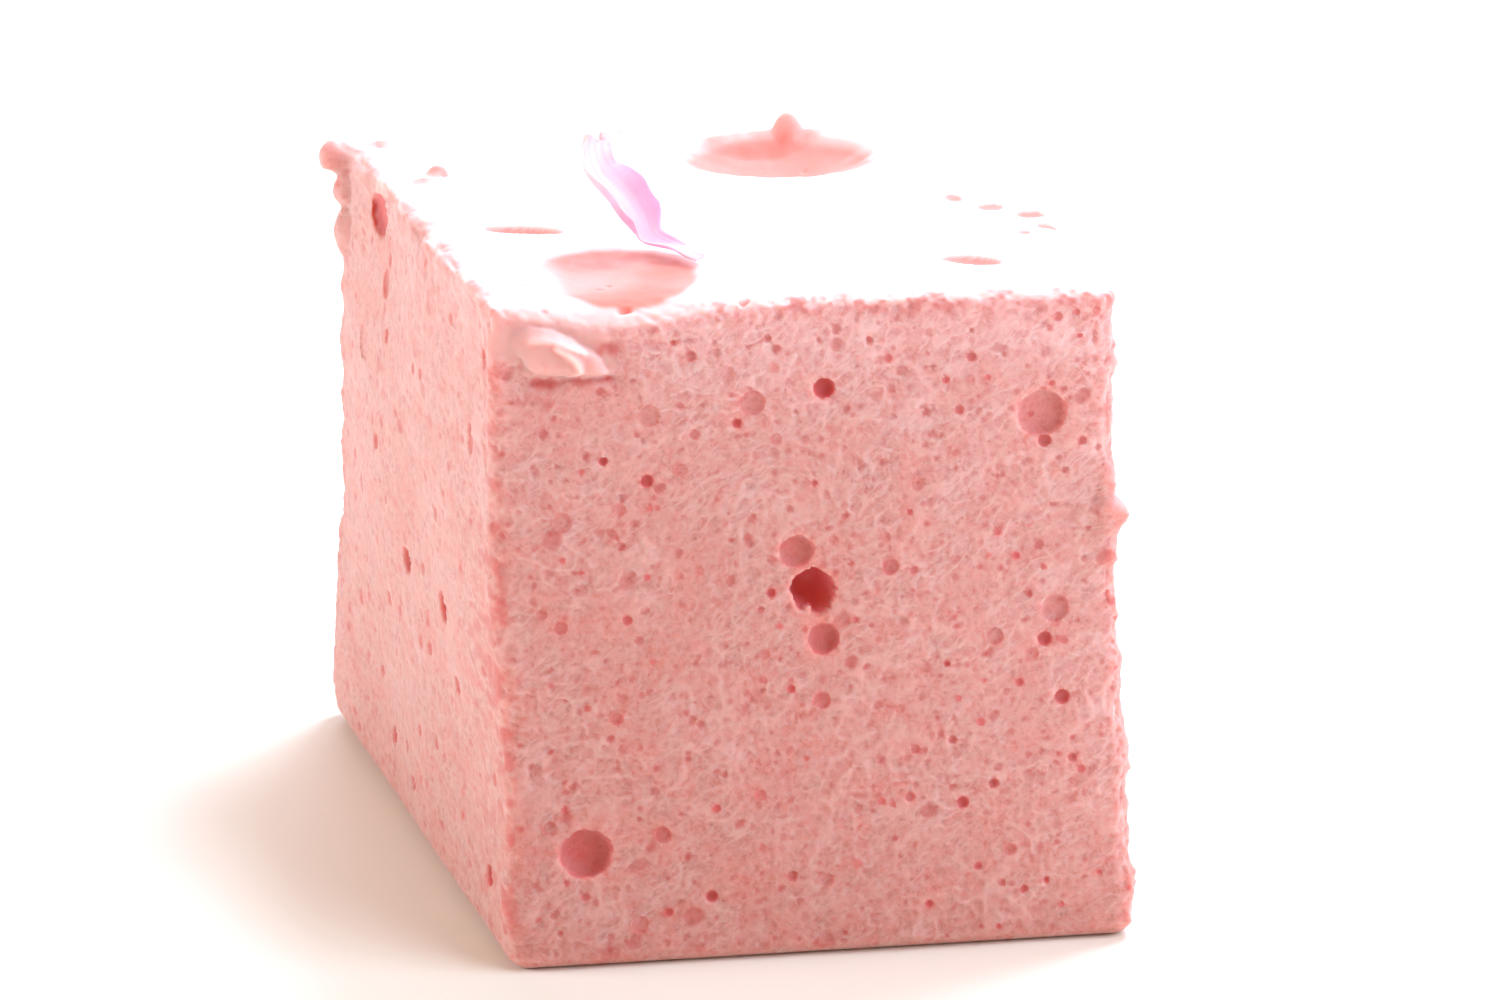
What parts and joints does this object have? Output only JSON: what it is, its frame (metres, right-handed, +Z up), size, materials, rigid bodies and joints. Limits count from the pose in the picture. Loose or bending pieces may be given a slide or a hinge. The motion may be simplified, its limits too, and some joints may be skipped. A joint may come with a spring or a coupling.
{
  "type": "cube marshmallow",
  "caption": "Hand-cut cube of pink fruit marshmallow foam with open bubbles, a smooth poured skin on top and a curled blossom petal standing on it.",
  "frame": {"origin": "under the middle of the block's outline, on its base", "axes": "+Z up, -Y towards the cut face with the large bubbles, +X to the right of that face"},
  "size_m": [0.0414, 0.0466, 0.0466],
  "materials": {
    "marshmallow": "matte pink aerated sugar foam, open cells on the cut sides, smooth pale poured skin on top",
    "petal": "thin translucent lilac-pink blossom petal with fine veins"
  },
  "bodies": {
    "root": {"marshmallow": "marshmallow", "petal": "petal"}
  },
  "joints": []
}
